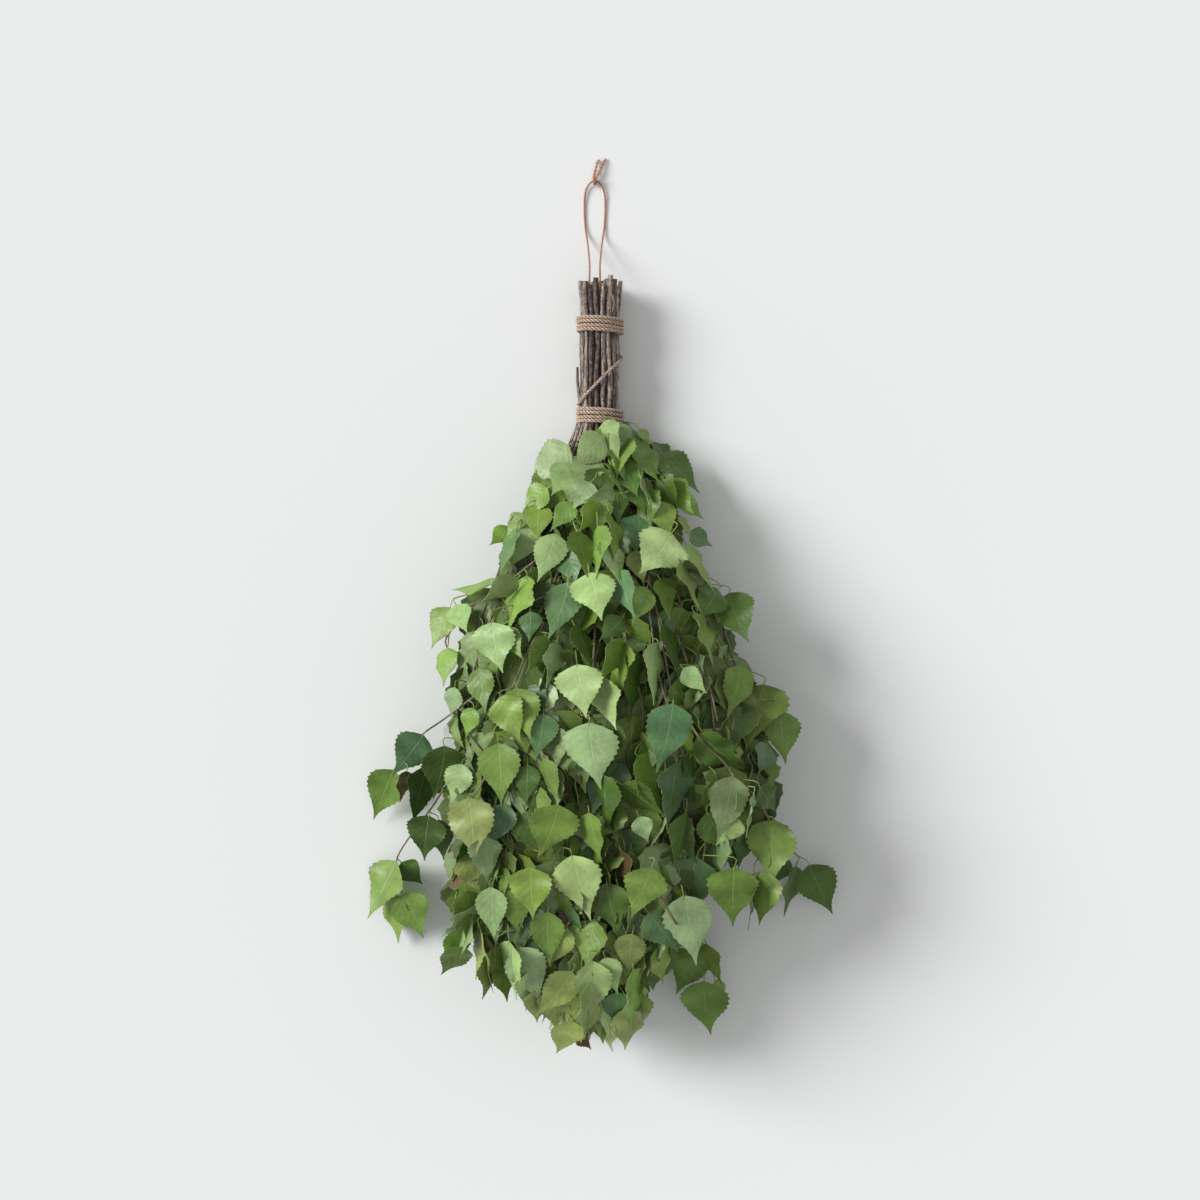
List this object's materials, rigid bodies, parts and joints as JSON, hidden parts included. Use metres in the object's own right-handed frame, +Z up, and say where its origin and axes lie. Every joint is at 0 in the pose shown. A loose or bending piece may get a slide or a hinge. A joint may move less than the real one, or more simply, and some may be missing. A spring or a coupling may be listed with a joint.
{
  "type": "bundle of leafy birch twigs",
  "caption": "Bath whisk of cut birch twigs in full leaf, bound into a round handle by two jute ties and lying flat, with a thin twine loop for hanging.",
  "frame": {"origin": "middle of the footprint of the bundle without its hanging loop, on the surface that it lies on", "axes": "+Y from the leaf tips to the cut ends of the handle, +Z up from the surface, +X to the right when seen from above with the handle away"},
  "size_m": [0.3603, 0.6955, 0.1116],
  "materials": {
    "bark": "rough brown-grey birch bark",
    "leaf": "soft satin green leaf",
    "jute": "dull twisted jute",
    "loop_twine": "thin orange-tan twine"
  },
  "bodies": {
    "root": {"twig_01": "bark", "twig_02": "bark", "twig_03": "bark", "twig_04": "bark", "twig_05": "bark", "twig_06": "bark", "twig_07": "bark", "twig_08": "bark", "twig_09": "bark", "twig_10": "bark", "twig_11": "bark", "twig_12": "bark", "twig_13": "bark", "twig_14": "bark", "twig_15": "bark", "twig_16": "bark", "twig_17": "bark", "twig_18": "bark", "twig_19": "bark", "twig_20": "bark", "twig_21": "bark", "twig_22": "bark", "twig_23": "bark", "twig_24": "bark", "twig_25": "bark", "twig_26": "bark", "twig_27": "bark", "twig_28": "bark", "twig_29": "bark", "twig_30": "bark", "twig_31": "bark", "twig_32": "bark", "twig_33": "bark", "twig_34": "bark", "twig_35": "bark", "spray_under_1": "leaf", "spray_under_2": "leaf", "spray_under_3": "leaf", "spray_under_4": "leaf", "spray_middle_1": "leaf", "spray_middle_2": "leaf", "spray_middle_3": "leaf", "spray_middle_4": "leaf", "spray_middle_5": "leaf", "spray_upper_1": "leaf", "spray_upper_2": "leaf", "spray_upper_3": "leaf", "spray_upper_4": "leaf", "spray_loose_left": "leaf", "spray_loose_low_left": "leaf", "spray_loose_right": "leaf", "spray_loose_low_right": "leaf", "tie_upper": "jute", "tie_lower": "jute", "tie_strand": "jute", "tie_loose_end": "jute", "hanging_loop": "loop_twine", "loop_knot": "loop_twine", "loop_end_short": "loop_twine", "loop_end_long": "loop_twine"}
  },
  "joints": []
}
